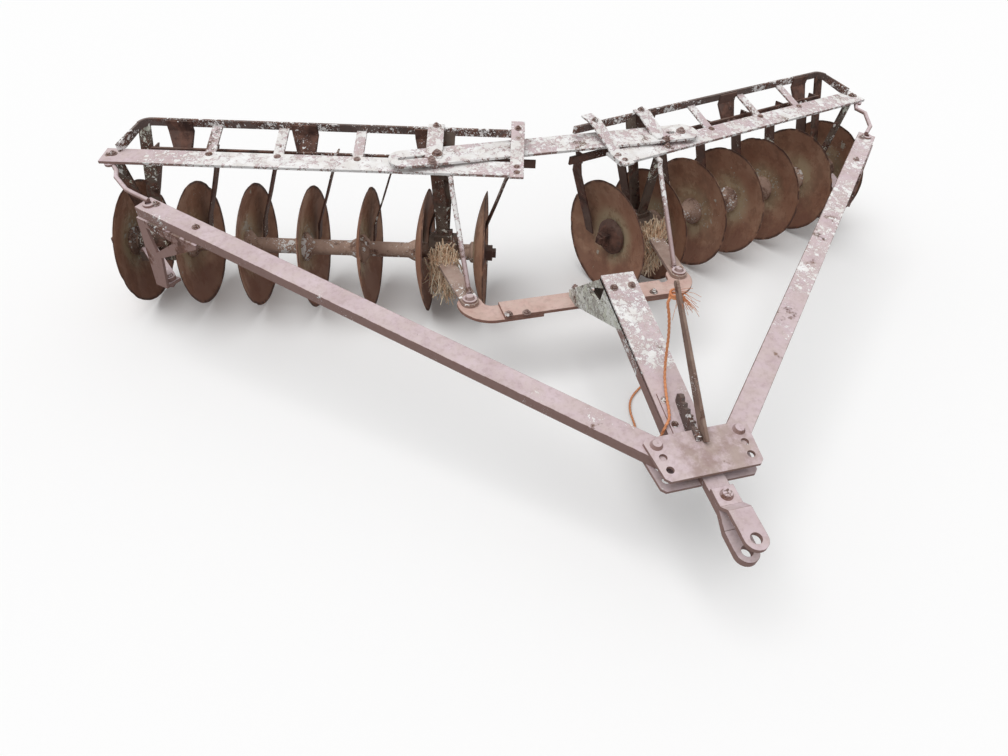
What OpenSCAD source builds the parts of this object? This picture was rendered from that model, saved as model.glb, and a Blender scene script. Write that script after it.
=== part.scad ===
// Trailed single-action disc harrow with two gangs of seven discs.
// X runs across the machine, +Y to its rear, +Z up, and the hitch points to -Y.
// The origin is on the ground under the middle of the machine.

/* [Discs] */
// Diameter of a worn disc
disc_d = 484; // [460:1:500]
// Thickness of a disc
disc_t = 5; // [4:0.5:6]
// Depth of the dish from the flat centre to the rim
disc_dish = 46; // [40:1:56]
// Radius of the flat centre of a disc
disc_flat_r = 62; // [60:1:70]
// Spacing of the discs along the axle
disc_gap = 228.6; // [222:0.1:236]

/* [Gangs] */
// Sweep of each gang from square across
sweep = 17; // [15:0.5:19]
// Distance of the innermost hub from the middle plane
hub_x = 310; // [290:1:340]
// Side of the square axle
axle_w = 28; // [24:1:32]
// Radius of a spool's barrel
spool_r = 30; // [26:1:34]
// Radius of the spool flange against the hollow side
spool_flange_r = 57; // [50:1:60]
// Radius of the spool end against the bulging side
spool_back_r = 42; // [38:1:48]
// Radius of the bearing journal
journal_r = 32; // [28:0.5:36]
// Radial running clearance of the journal
journal_fit = 0.05; // [0.02:0.01:0.1]
// Outer radius of a bearing housing
bearing_r = 74; // [68:1:78]
// Length of a bearing housing
bearing_len = 110; // [100:1:130]

/* [Gang frames] */
// Forward tilt of the frame above a gang
frame_tilt = 8; // [6:0.5:10]
// Distance of the frame's front edge before the axle
frame_front = 102; // [95:1:110]
// Height of the frame's front edge above the axle
frame_rise = 378; // [370:1:390]
// Depth of the frame from its front edge to its rear face
frame_depth = 220; // [214:1:232]
// Width of the flat front bar
bar_w = 88; // [80:1:94]
// Thickness of the flat bars
bar_t = 10; // [8:1:12]
// Height of the rear rail, a flat bar on edge
rail_h = 28; // [24:1:32]
// Height of the rail's lower edge above the front bar
rail_lift = 26; // [22:1:30]
// Outer radius of the rail's bent corner
rail_bend_r = 45; // [40:1:52]
// Width of a rung
rung_w = 38; // [30:1:45]
// Width of the wide strap
strap_w = 60; // [52:1:64]
// Width of the strap at the inner end
end_strap_w = 50; // [44:1:54]
// Width of a leg of a bearing standard
leg_w = 45; // [38:1:46]
// Width of the bar that joins both gang frames
joiner_w = 108; // [100:1:112]
// Half the length of the joining bar, without its round ends
joiner_half = 560; // [550:1:580]

/* [Scrapers] */
// Height of the scraper bar, on edge
scraper_bar_h = 32; // [28:1:36]
// Thickness of a scraper arm
scraper_t = 7; // [6:0.5:8]

/* [Draft frame] */
// Distance of the plate bolts before the line of the inner hubs
hitch_y = 1280; // [1260:1:1300]
// Height of the top face of the draft bars at the hitch
hitch_z = 360; // [352:1:368]
// Rise of the draft bars to the rear
draft_tilt = 9; // [8.5:0.25:9.5]
// Width of a draft bar, a channel with its web on top
draft_w = 70; // [66:1:76]
// Height of a draft bar
draft_h = 38; // [36:1:40]
// Thickness of a draft bar's web and flanges
draft_t = 6; // [5:0.5:7]
// Distance of a plate bolt from the middle plane
plate_bolt_x = 122; // [118:1:126]
// Thickness of a hitch plate
plate_t = 10; // [8:1:12]

/* [Tongue] */
// Width of the tongue channel
tongue_w = 110; // [104:1:114]
// Depth of the tongue's flanges
tongue_h = 46; // [42:1:50]
// Thickness of the tongue's steel
tongue_t = 8; // [7:0.5:9]
// Rise of the tongue to the rear
tongue_tilt = 17; // [16.5:0.25:17.5]
// Length of the tongue
tongue_len = 615; // [605:1:625]
// Width of the hitch bar
hitch_bar_w = 64; // [60:1:70]
// Thickness of the hitch bar
hitch_bar_t = 22; // [20:1:24]
// Radius of the hitch pin hole
hitch_hole_r = 15; // [12:0.5:17]
// Width of the cross link
link_w = 92; // [84:1:96]
// Thickness of the cross link
link_t = 12; // [10:1:12]

/* [Hidden] */

primer = "#a08a86";
lichened = "#aaa39c";
dark_rust = "#5a4038";
old_casting = "#8d9384";

disc_count = 7;
disc_r = disc_d / 2;
axle_z = disc_r;
left = -1;
right = 1;
round_fn = 48;
far = 3000;

// The dish is part of a sphere outside the flat centre
sphere_r = (pow(disc_r, 2) - pow(disc_flat_r, 2) + pow(disc_dish, 2)) / (2 * disc_dish);
arc_steps = 10;
function sphere_dip(r) = sphere_r - sqrt(pow(sphere_r, 2) - pow(r, 2));
flat_dip = sphere_dip(disc_flat_r);
function sag(r) = disc_dish * (sphere_dip(max(r, disc_flat_r)) - flat_dip) / (sphere_dip(disc_r) - flat_dip);
function arc_r(i) = disc_flat_r + (disc_r - disc_flat_r) * i / arc_steps;

// Places along a gang, outward from the innermost hub
gang_end = disc_gap * (disc_count - 1);
// The worn rotor has moved inward along its bearings
rotor_shift = -8;
bearing_u = [disc_gap * 0.5, gang_end - disc_gap * 0.5];
rail_inner_u = -190;
bar_outer_u = gang_end - 40;
rung_u = [disc_gap * 1.82, disc_gap * 3.09, disc_gap * 4.18];
strap_u = disc_gap * 0.6;
hanger_u = [disc_gap * 0.74, disc_gap * 2.756, disc_gap * 4.8];
scraper_bar_u = [-236, gang_end - 165];
spacer_u = [disc_gap * 0.58, disc_gap * 1.05];
// The right gang's front bar and end strap lie further out than the left one's
function bar_inner_u(side) = side == left ? -190 : -120;
function end_strap_u(side) = side == left ? -165 : -95;

// From the plane of a gang frame to the gang's own Y and Z
function frame_y(p, q) = -frame_front + p * cos(frame_tilt) - q * sin(frame_tilt);
function frame_z(p, q) = frame_rise + p * sin(frame_tilt) + q * cos(frame_tilt);
rail_t = bar_t;
rail_front = frame_depth - rail_t;
rail_top = rail_lift + rail_h;
rail_lean = 21;
rail_bend_u = gang_end - 175;
rail_bend_p = frame_depth - rail_bend_r;
strap_t = 8;
rung_t = 8;

// Scraper bar below and before the rear rail
scraper_bar_p = 150;
scraper_bar_q = -62;
scraper_bar_t = 10;
scraper_back = scraper_bar_p + scraper_bar_t;
hanger_t = 6;

// Draft arms lie flat above the axle's height
arm_q = 20;
arm_t = 14;
arm_w = 64;
outer_arm_w = 50;
inner_pin = [-14, -390];
outer_pin = [gang_end - 270, -300];
pin_hole_r = 11;
function world_x(p) = hub_x + p[0] * cos(sweep) - p[1] * sin(sweep);
function world_y(p) = p[0] * sin(sweep) + p[1] * cos(sweep);
link_x = world_x(inner_pin);
link_bend = 78;
pin_y = world_y(inner_pin);
link_y = pin_y - link_bend;
link_top = axle_z + arm_q;

// Draft bars run from the hitch plates to above the outer pins
outer_x = world_x(outer_pin);
outer_y = world_y(outer_pin);
draft_run = (outer_y + hitch_y) / cos(draft_tilt);
draft_angle = atan2(draft_run, outer_x - plate_bolt_x);
draft_len = norm([draft_run, outer_x - plate_bolt_x]);
draft_yaw = atan2(outer_y + hitch_y, outer_x - plate_bolt_x);
draft_end_z = hitch_z + draft_run * sin(draft_tilt);

// Jaws of the hitch, in the plane of the draft bars
hitch_hole_y = -312;
hitch_tip = hitch_bar_w / 2;
jaw_t = 14;
jaw_up = 26;
jaw_down = 26;
jaw_bolt_y = -174;
jaw_top = hitch_bar_t - draft_h + jaw_up + jaw_t;

// Middle of the machine, from the hitch's tip to the outermost rims
front_y = -hitch_y + (hitch_hole_y - hitch_tip) * cos(draft_tilt) - jaw_top * sin(draft_tilt);
rim_u = gang_end + rotor_shift - disc_dish + disc_t / 2;
rear_y = rim_u * sin(sweep) + disc_r * cos(sweep);
mid_y = (front_y + rear_y) / 2;

// The tongue's top face starts between the hitch plates
tongue_front_y = -hitch_y + 18;
tongue_front_z = hitch_z - 30;
function tongue_point(s, h) = [
    tongue_front_y + s * cos(tongue_tilt) - h * sin(tongue_tilt),
    tongue_front_z + s * sin(tongue_tilt) + h * cos(tongue_tilt)];

// Route of the twine, from the lever down over the tongue to the ground
twine_r = 4.5;
twine_route = [
    [6, -1005, 637], [-3, -1007, 634], [-8, -1012, 620], [-4, -1019, 597], [0, -1026, 565],
    [2, -1034, 525], [0, -1044, 485], [-4, -1058, 448], [-9, -1078, 414], [-15, -1104, 394],
    [-24, -1136, 383], [-32, -1168, 374], [-42, -1194, 366], [-58, -1210, 357], [-68, -1216, 336],
    [-69, -1212, 305], [-63, -1200, 262], [-51, -1176, 212], [-38, -1140, 160], [-21, -1092, 110],
    [-2, -1042, 66], [16, -992, 31], [32, -946, 12], [46, -902, 6], [58, -862, 5],
    [68, -806, 5], [84, -762, 5], [108, -728, 5], [140, -700, 5], [170, -680, 5], [200, -668, 5]
];

// Placing modules
module stand() { translate([0, -mid_y, 0]) children(); }
module on_side(side) { if (side == left) mirror([1, 0, 0]) children(); else children(); }
module gang(side) {
    stand() on_side(side) translate([hub_x, 0, axle_z]) rotate([0, 0, sweep]) children();
}
module tilted() { translate([0, -frame_front, frame_rise]) rotate([frame_tilt, 0, 0]) children(); }
module gang_frame(side) { gang(side) tilted() children(); }
module rotor(side) { gang(side) translate([rotor_shift, 0, 0]) children(); }
module draft_plane() {
    stand() translate([0, -hitch_y, hitch_z]) rotate([draft_tilt, 0, 0]) children();
}
module draft_bar_line(side) {
    draft_plane() on_side(side) translate([plate_bolt_x, 0, 0]) rotate([0, 0, draft_angle]) children();
}
module tongue_place() {
    stand() translate([0, tongue_front_y, tongue_front_z]) rotate([tongue_tilt, 0, 0]) children();
}

// A flat bar from a to b that stands, its width across X
module strut(a, b, w, t) {
    d = b - a;
    len = norm(d);
    translate(a) rotate([-asin(d[1] / len), atan2(d[0], d[2]), 0])
        translate([-w / 2, -t / 2, 0]) cube([w, t, len]);
}
// A round rod through the points of a list
// A round rod from point to point
module rod(points, r) {
    for (i = [0 : len(points) - 2]) {
        d = points[i + 1] - points[i];
        translate(points[i]) rotate([0, acos(d[2] / norm(d)), atan2(d[1], d[0])])
            cylinder(h = norm(d), r = r, $fn = 24);
    }
    for (i = [1 : len(points) - 2]) translate(points[i]) sphere(r = r + 0.3, $fn = 24);
}
// A flat eye bar in plan from a to b, with an eye and its hole at b
module eye_bar(a, b, w, t) {
    d = b - a;
    difference() {
        linear_extrude(t) {
            translate(a) rotate(atan2(d[1], d[0])) translate([0, -w / 2]) square([norm(d), w]);
            translate(b) circle(r = w / 2, $fn = round_fn);
        }
        translate([b[0], b[1], -1]) cylinder(h = t + 2, r = pin_hole_r, $fn = round_fn);
    }
}
// A plate drawn in Y and Z, with its thickness from x to x + t
module side_plate(x, t) { translate([x, 0, 0]) rotate([90, 0, 90]) linear_extrude(t) children(); }
// A flat bar bent along points of Y and Z, its width across X
module bent_flat(points, w, t) {
    upper = [for (i = [len(points) - 1 : -1 : 0]) points[i] + [0, t]];
    side_plate(-w / 2, w) polygon(concat(points, upper));
}
module hole(x, y, r) { translate([x, y, -far / 2]) cylinder(h = far, r = r, $fn = round_fn); }

// Gang rotors
module square_hole(len) {
    side = axle_w + 1;
    translate([-len / 2, -side / 2, -side / 2]) cube([len, side, side]);
}
module disc() {
    outer = [for (i = [0 : arc_steps]) [arc_r(i), disc_t / 2 - sag(arc_r(i))]];
    inner = [for (i = [arc_steps : -1 : 0]) [arc_r(i), -disc_t / 2 - sag(arc_r(i))]];
    difference() {
        rotate([0, 90, 0]) rotate_extrude($fn = 96)
            polygon(concat([[0, disc_t / 2]], outer, inner, [[0, -disc_t / 2]]));
        square_hole(disc_t + 4);
    }
}
module discs(side) {
    color(dark_rust) rotor(side) for (n = [0 : disc_count - 1])
        translate([n * disc_gap, 0, 0]) disc();
}
// The cone to the flange is short where the barrel is a bearing journal
module spool(barrel_r, cone) {
    len = disc_gap - disc_t;
    rim = 11;
    difference() {
        rotate([0, 90, 0]) rotate_extrude($fn = round_fn) polygon([
            [0, 0], [spool_back_r, 0], [spool_back_r, rim], [barrel_r, rim + cone],
            [barrel_r, len - rim - cone], [spool_flange_r, len - rim], [spool_flange_r, len], [0, len]]);
        translate([len / 2, 0, 0]) square_hole(len + 4);
    }
}
module spools(side) {
    color(dark_rust) rotor(side) for (n = [0 : disc_count - 2])
        translate([n * disc_gap + disc_t / 2, 0, 0])
            if (n == 0 || n == disc_count - 2) spool(journal_r, 7);
            else spool(spool_r, 24);
}
// Domed end washer against a disc, bulging to +X
washer_h = 44;
module end_washer() {
    rotate([0, 90, 0]) rotate_extrude($fn = round_fn) polygon([
        [0, 0], [disc_flat_r - 4, 0], [75, 8], [74, 20], [60, 33], [38, 42], [0, washer_h]]);
}
module axle(side) {
    nut_w = 46;
    nut_h = 26;
    stub = 14;
    reach = disc_t / 2 + washer_h + nut_h + stub;
    color(dark_rust) rotor(side) {
        translate([-disc_t / 2, 0, 0]) mirror([1, 0, 0]) end_washer();
        translate([gang_end + disc_t / 2, 0, 0]) end_washer();
        translate([-reach, -axle_w / 2, -axle_w / 2]) cube([gang_end + 2 * reach, axle_w, axle_w]);
        for (x = [-disc_t / 2 - washer_h - nut_h, gang_end + disc_t / 2 + washer_h])
            translate([x, -nut_w / 2, -nut_w / 2]) cube([nut_h, nut_w, nut_w]);
    }
}

// Bearing housing with the seat of a draft arm on its front
module housing() {
    seat_w = 64;
    seat_reach = 118;
    saddle = 68;
    difference() {
        union() {
            translate([-bearing_len / 2, 0, 0]) rotate([0, 90, 0])
                cylinder(h = bearing_len, r = bearing_r, $fn = 64);
            translate([-seat_w / 2, -seat_reach, -arm_q]) cube([seat_w, seat_reach, 2 * arm_q]);
            translate([-saddle / 2, -saddle / 2, 0]) cube([saddle, saddle, bearing_r + 10]);
        }
        translate([-bearing_len, 0, 0]) rotate([0, 90, 0])
            cylinder(h = 2 * bearing_len, r = journal_r + journal_fit, $fn = 64);
    }
}
// Top of each leg: shift along the gang, then p and q in the frame
leg_tops = [
    [[14, 50, 8], [-24, rail_front + 4, 40]],
    [[43, 50, 8], [-26, rail_front + 4, 40]]
];
leg_t = 11;
module standards(side) {
    color(lichened) difference() {
        gang(side) for (k = [0, 1]) translate([bearing_u[k], 0, 0]) {
            housing();
            for (i = [0, 1]) {
                top = leg_tops[k][i];
                base = [0, i == 0 ? -18 : 18, bearing_r];
                strut(base, [top[0], frame_y(top[1], top[2]), frame_z(top[1], top[2])], leg_w, leg_t);
            }
        }
        gang_frame(side) {
            translate([rail_inner_u, -60, -bar_t]) cube([far, bar_w + 75, 120]);
            translate([0, 0, rail_lift]) linear_extrude(far) difference() {
                translate([rail_inner_u, 0]) square([far, far]);
                rail_inside();
            }
            translate([rail_inner_u, 0, rail_top - 4]) cube([far, far, far]);
        }
    }
}

// Plan of the space before the rail's straight part and inside its bend
module rail_inside() {
    r = rail_bend_r - rail_t;
    translate([rail_inner_u, -50]) square([rail_bend_u - rail_inner_u, rail_front + 50]);
    translate([rail_bend_u, rail_bend_p]) {
        circle(r = r, $fn = 64);
        rotate(rail_lean) translate([-far, -far]) square([far + r, far]);
    }
}

// Gang frames
module front_bar(side) {
    bolt_edge = 20;
    color(primer) gang_frame(side) difference() {
        translate([bar_inner_u(side), 0, -bar_t])
            cube([bar_outer_u - bar_inner_u(side), bar_w, bar_t]);
        hole(bar_outer_u - bolt_edge, bar_w / 2, 9);
    }
}
// The rail turns through its corner, then slopes down to the front bar
module rear_rail(side) {
    side_len = 132;
    foot_len = 34;
    steps = 12;
    inner_r = rail_bend_r - rail_t;
    stub = 8 * [sin(rail_lean), -cos(rail_lean)];
    thinner = 0.4;
    turns = [for (i = [0 : steps]) 90 - (90 - rail_lean) * i / steps];
    outer = [for (a = turns) rail_bend_r * [cos(a), sin(a)]];
    inner = [for (i = [steps : -1 : 0]) inner_r * [cos(turns[i]), sin(turns[i])]];
    straight = rail_bend_u - rail_inner_u;
    color(lichened) gang_frame(side) translate([rail_bend_u, rail_bend_p, 0]) {
        translate([0, 0, rail_lift]) linear_extrude(rail_h) polygon(concat(
            [[-straight, rail_bend_r]], outer, [outer[steps] + stub, inner[0] + stub],
            inner, [[-straight, inner_r]]));
        rotate([0, 0, rail_lean]) side_plate(inner_r + thinner, rail_t - 2 * thinner)
            polygon([[-2, rail_lift + 1], [-2, rail_top - 1], [-side_len, rail_h],
                [-side_len, 0], [-side_len + foot_len, 0]]);
    }
}
module rungs(side) {
    color(lichened) gang_frame(side) for (u = rung_u) translate([u, 0, 0]) bent_flat(
        [[bar_w, -rung_t], [rail_front, rail_lift]], rung_w, rung_t);
}
// The joining bar lies skewed over both front bars, on spacers
joiner_y = 22;
joiner_z = axle_z + frame_rise + 24;
joiner_skew = 1.3;
module joiner_place() {
    stand() translate([0, joiner_y, joiner_z]) rotate([frame_tilt, 0, joiner_skew]) children();
}
// Start and end of each slot along the joining bar
joiner_slots = [[-580, -475], [425, 520]];
module joining_bar() {
    slot_w = 16;
    spacer_r = 18;
    color(lichened) {
        joiner_place() difference() {
            union() {
                translate([-joiner_half, -joiner_w / 2, 0]) cube([2 * joiner_half, joiner_w, bar_t]);
                for (s = [-1, 1]) translate([s * joiner_half, 0, 0])
                    cylinder(h = bar_t, r = joiner_w / 2, $fn = 64);
            }
            for (slot = joiner_slots) translate([slot[0], -slot_w / 2, -1])
                cube([slot[1] - slot[0], slot_w, bar_t + 2]);
        }
        difference() {
            for (s = [left, right]) gang_frame(s) translate([spacer_u[s == left ? 0 : 1], bar_w / 2, 0])
                cylinder(h = 60, r = spacer_r, $fn = 32);
            joiner_place() translate([-far / 2, -far / 2, 0]) cube([far, far, far]);
        }
    }
}
// The wide strap lands on the joining bar, the end strap passes over it
module straps(side) {
    color(lichened) {
        difference() {
            gang_frame(side) translate([strap_u, 0, 0]) bent_flat(
                [[56, 20], [104, 20], [190, rail_top], [frame_depth + 8, rail_top]], strap_w, strap_t);
            joiner_place() translate([-far / 2, -joiner_w, -far + bar_t]) cube([far, 2 * joiner_w, far]);
        }
        gang_frame(side) translate([end_strap_u(side), 0, 0]) bent_flat(
            [[-22, 0], [62, 0], [94, 18], [205, rail_top], [frame_depth + 48, rail_top]],
            end_strap_w, strap_t);
    }
}

// Scrapers
module scraper_bar(side) {
    color(dark_rust) gang_frame(side) {
        translate([scraper_bar_u[0], scraper_bar_p, scraper_bar_q])
            cube([scraper_bar_u[1] - scraper_bar_u[0], scraper_bar_t, scraper_bar_h]);
        for (u = hanger_u) hanger(u);
    }
}
// A hanger is a plate wide at the rail and narrow at the scraper bar
module hanger(u) {
    wide = 100;
    narrow = 62;
    low = scraper_bar_q;
    intersection() {
        translate([u, 0, 0]) side_plate(-wide / 2, wide) polygon([
            [scraper_back, low], [scraper_back + hanger_t, low], [rail_front, rail_lift - 16],
            [rail_front, rail_top - 4], [rail_front - hanger_t, rail_top - 4],
            [rail_front - hanger_t, rail_lift - 14], [scraper_back, low + 14]]);
        translate([u, 0, -far / 2]) linear_extrude(far) polygon([
            [-narrow / 2, scraper_back], [narrow / 2, scraper_back],
            [wide / 2, rail_front], [-wide / 2, rail_front]]);
    }
}
// Height above the axle, distance before the disc's hub, front edge and rear edge of an arm
arm_shape = [
    [370, 172, 44, 100],
    [336, 158, 58, 108],
    [326, 154, 84, 124],
    [253, 122, 112, 168],
    [158, 88, 112, 168],
    [43, 44, 112, 168],
    [-27, 38, 94, 140]
];
module scrapers(side) {
    back = [len(arm_shape) - 1 : -1 : 0];
    near = [for (a = arm_shape) [-a[1], a[0]]];
    away = [for (i = back) [-arm_shape[i][1] - scraper_t, arm_shape[i][0]]];
    front = [for (a = arm_shape) [a[2], a[0]]];
    rear = [for (i = back) [arm_shape[i][3], arm_shape[i][0]]];
    color(dark_rust) gang(side) difference() {
        for (n = [0 : disc_count - 1]) translate([n * disc_gap, 0, 0]) intersection() {
            translate([0, 300, 0]) rotate([90, 0, 0]) linear_extrude(600) polygon(concat(near, away));
            side_plate(-300, 400) polygon(concat(front, rear));
        }
        tilted() translate([-far / 2, scraper_bar_p - 60, scraper_bar_q])
            cube([far, 60 + scraper_bar_t, 200]);
    }
}

// Arms from the bearings
module inner_arm(side) {
    color(lichened) gang(side) translate([0, 0, arm_q])
        eye_bar([bearing_u[0], -92], inner_pin, arm_w, arm_t);
}
module outer_arm(side) {
    color(primer) gang(side) translate([0, 0, arm_q])
        eye_bar([bearing_u[1], -96], outer_pin, outer_arm_w, arm_t);
}
// Stays are rods with an eye at each end
stay_r = 9;
eye_t = 8;
module eye(r, tail = 0) {
    difference() {
        union() {
            cylinder(h = eye_t, r = r, $fn = 32);
            if (tail > 0) translate([-stay_r, 0, 0]) cube([2 * stay_r, tail, eye_t]);
        }
        translate([0, 0, -1]) cylinder(h = eye_t + 2, r = pin_hole_r, $fn = 32);
    }
}
module inner_stay(side) {
    low = [inner_pin[0], inner_pin[1], arm_q + arm_t];
    top_u = 74;
    top_p = 26;
    top = [top_u, frame_y(top_p, -bar_t - eye_t), frame_z(top_p, -bar_t - eye_t)];
    color(lichened) gang(side) {
        translate(low) rotate([0, 0, -10]) eye(26, 40);
        tilted() translate([top_u, top_p, -bar_t - eye_t]) eye(20);
        rod([low + [5, 33, stay_r], [top[0] - 8, top[1] - 48, top[2] - 30],
            [top[0] - 6, top[1] - 42, top[2] - 8], top + [-1, -12, -4]], stay_r);
    }
}
module outer_stay(side) {
    end = [outer_x - 24, outer_y - 24, draft_end_z];
    start_u = bar_outer_u - 34;
    start_p = 10;
    r = 8;
    start_q = -bar_t - eye_t;
    upper = [start_u, frame_y(start_p, start_q)];
    start = [world_x(upper), world_y(upper), axle_z + frame_z(start_p, start_q)];
    color(primer) {
        gang_frame(side) translate([start_u, start_p, start_q]) eye(19);
        stand() on_side(side) rod([start + [-11, -8, -1], start + [-21, -32, -12],
            start + [-31, -104, -6], end + [81, 97, 18], end + [51, 51, 22],
            end + [4, 10, r + 3]], r);
        draft_bar_line(side) translate([draft_len - 26, 0, 0]) eye(20);
    }
}

// Draft frame
module draft_bar(side) {
    start = -46;
    over = 4;
    color(primer) draft_bar_line(side) difference() {
        translate([start, -draft_w / 2, -draft_h]) cube([draft_len + over - start, draft_w, draft_h]);
        translate([start - 1, -draft_w / 2 + draft_t, -draft_h - 1])
            cube([far, draft_w - 2 * draft_t, draft_h + 1 - draft_t]);
        hole(0, 0, pin_hole_r);
    }
}
// A plate with a leg, a brace and an opening, and a foot under the pin
module outer_bracket(side) {
    drop = draft_end_z - link_top;
    foot_t = 12;
    half_foot = 30;
    plate = 10;
    face = -draft_w / 2 - 3;
    color(primer) difference() {
        stand() on_side(side) translate([outer_x, outer_y, link_top]) rotate([0, 0, draft_yaw]) {
            translate([0, face + plate, 0]) rotate([90, 0, 0]) linear_extrude(plate) difference() {
                polygon([[-half_foot, -foot_t], [half_foot - 4, -foot_t], [6, drop], [-262, drop],
                    [-262, drop * 0.72], [-half_foot - 26, drop * 0.4]]);
                polygon([[-40, drop * 0.46], [-26, drop * 0.76], [-150, drop * 0.69]]);
            }
            difference() {
                translate([-half_foot, face, -foot_t]) cube([2 * half_foot - 4, 26 - face, foot_t]);
                hole(0, 0, pin_hole_r);
            }
        }
        draft_plane() translate([-far, -far / 2, -draft_h]) cube([2 * far, 2 * far, far]);
    }
}
plate_rear = 26;
plate_depth = 140;
plate_holes = [0, -40, -80];
module hitch_plate(top) {
    rear_w = 308;
    front_w = 282;
    corner = 12;
    front = plate_rear - plate_depth;
    half = [[rear_w / 2 - corner, plate_rear], [rear_w / 2, plate_rear - corner],
        [front_w / 2, front + corner], [front_w / 2 - corner, front]];
    mirrored = [for (i = [len(half) - 1 : -1 : 0]) [-half[i][0], half[i][1]]];
    color(primer) draft_plane() difference() {
        translate([0, 0, top]) linear_extrude(plate_t) polygon(concat(half, mirrored));
        for (s = [-1, 1]) for (y = plate_holes)
            hole(s * (plate_bolt_x + y * 0.06), y, pin_hole_r);
    }
}
// Bolt with a domed head, its shank from the origin up through a grip
module pin_bolt(grip) {
    tail = 8;
    nut_w = 32;
    nut_h = 14;
    head_h = 11;
    translate([0, 0, -tail]) cylinder(h = grip + tail, r = pin_hole_r - 0.4, $fn = 32);
    translate([0, 0, grip]) cylinder(h = head_h, r1 = 18, r2 = 13, $fn = 32);
    translate([-nut_w / 2, -nut_w / 2, -nut_h]) cube([nut_w, nut_w, nut_h]);
}
module pin_bolts() {
    color(dark_rust) draft_plane() {
        for (x = [-plate_bolt_x, plate_bolt_x])
            translate([x, 0, -draft_h - plate_t]) pin_bolt(draft_h + 2 * plate_t);
        translate([0, jaw_bolt_y, -draft_h]) pin_bolt(hitch_bar_t + jaw_t);
    }
    color(dark_rust) for (s = [left, right]) {
        gang(s) translate([inner_pin[0], inner_pin[1], arm_q - link_t])
            pin_bolt(link_t + arm_t + eye_t);
        gang(s) translate([outer_pin[0], outer_pin[1], arm_q - 12]) pin_bolt(12 + arm_t);
    }
}
// Lower jaw, a bar held between the plates and bent down at the front
module hitch_bar() {
    rear = 10;
    low = -draft_h - jaw_down;
    color(primer) draft_plane() difference() {
        union() {
            bent_flat([[hitch_hole_y, low], [-250, low], [-206, -draft_h], [rear, -draft_h]],
                hitch_bar_w, hitch_bar_t);
            translate([0, hitch_hole_y, low]) cylinder(h = hitch_bar_t, r = hitch_tip, $fn = round_fn);
        }
        hole(0, hitch_hole_y, hitch_hole_r);
        hole(0, jaw_bolt_y, pin_hole_r);
    }
}
// Upper jaw, bent up to leave the gap for a drawbar
module hitch_jaw() {
    base = hitch_bar_t - draft_h;
    high = base + jaw_up;
    rear = -148;
    color(primer) draft_plane() difference() {
        union() {
            bent_flat([[hitch_hole_y, high], [-228, high], [-202, base], [rear, base]],
                hitch_bar_w, jaw_t);
            translate([0, hitch_hole_y, high]) cylinder(h = jaw_t, r = hitch_tip, $fn = round_fn);
        }
        hole(0, hitch_hole_y, hitch_hole_r);
        hole(0, jaw_bolt_y, pin_hole_r);
    }
}

// Tongue
cheek_len = 178;
cheek_t = 12;
casting_base = link_top + link_t;
casting_rear = link_y + 30;
casting_front = link_y - 42;
// Side view of the casting, from the tongue's web down to the cross link
module cheek_outline() {
    polygon([tongue_point(tongue_len - cheek_len - 36, -tongue_t), tongue_point(tongue_len, -tongue_t),
        tongue_point(tongue_len, -tongue_t - 10), [casting_rear, casting_base + 24],
        [casting_rear - 8, casting_base], [casting_front, casting_base],
        tongue_point(tongue_len - cheek_len, -tongue_h)]);
}
function between(a, b, share) = a + (b - a) * share;
// A point of the cheek, down its length and from its lower to its upper edge
function cheek_point(down, up) = between(
    between(tongue_point(tongue_len - cheek_len, -tongue_h), [casting_front, casting_base], down),
    between(tongue_point(tongue_len, -tongue_t), [casting_rear, casting_base + 24], down), up);
module tongue() {
    strip_x = -42;
    strip_w = 28;
    strip_t = 6;
    strip_len = 140;
    color(lichened) difference() {
        tongue_place() {
            difference() {
                translate([-tongue_w / 2, 0, -tongue_h]) cube([tongue_w, tongue_len, tongue_h]);
                translate([-tongue_w / 2 + tongue_t, -1, -tongue_h - 1])
                    cube([tongue_w - 2 * tongue_t, tongue_len + 2, tongue_h + 1 - tongue_t]);
            }
            translate([strip_x, 24, 0]) cube([strip_w, strip_len, strip_t]);
        }
        draft_plane() translate([-200, -200, -200 - draft_h])
            cube([400, 200 + plate_rear, 200]);
        stand() side_plate(-tongue_w, 2 * tongue_w) cheek_outline();
    }
}
// Two cheeks with a triangular opening, on a foot across the cross link
module tongue_casting() {
    inner = tongue_w / 2 - cheek_t;
    foot_t = 14;
    color(old_casting) stand() {
        for (x = [-tongue_w / 2, inner]) side_plate(x, cheek_t) difference() {
            cheek_outline();
            polygon([cheek_point(0, 0.77), cheek_point(0.43, 0.88), cheek_point(0.25, 0.45)]);
        }
        translate([-inner, casting_front, casting_base]) cube([2 * inner, 60, foot_t]);
    }
}
// A notched bar on edge, from the tongue over the rear of the upper plate
module latch_bar() {
    x = -12;
    thick = 14;
    skew = -6;
    len = 162;
    low = hitch_z - 20;
    crest = hitch_z + 46;
    notch = 22;
    notches = 5;
    color(old_casting) difference() {
        stand() translate([x, tongue_front_y - 32, 0]) rotate([0, 0, skew]) side_plate(0, thick)
            polygon(concat(
                [[0, low], [len, low], [len, crest - 10], [len - 14, crest]],
                [for (i = [1 : notches]) each [[len - i * notch - 4, crest - i * 2],
                    [len - i * notch - 9, crest - 12 - i * 2]]],
                [[0, crest - 22]]));
        tongue_place() translate([-200, -far / 2, -far]) cube([400, far, far]);
        draft_plane() translate([-200, -200, -200 + plate_t]) cube([400, 200 + plate_rear, 200]);
    }
}
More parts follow.
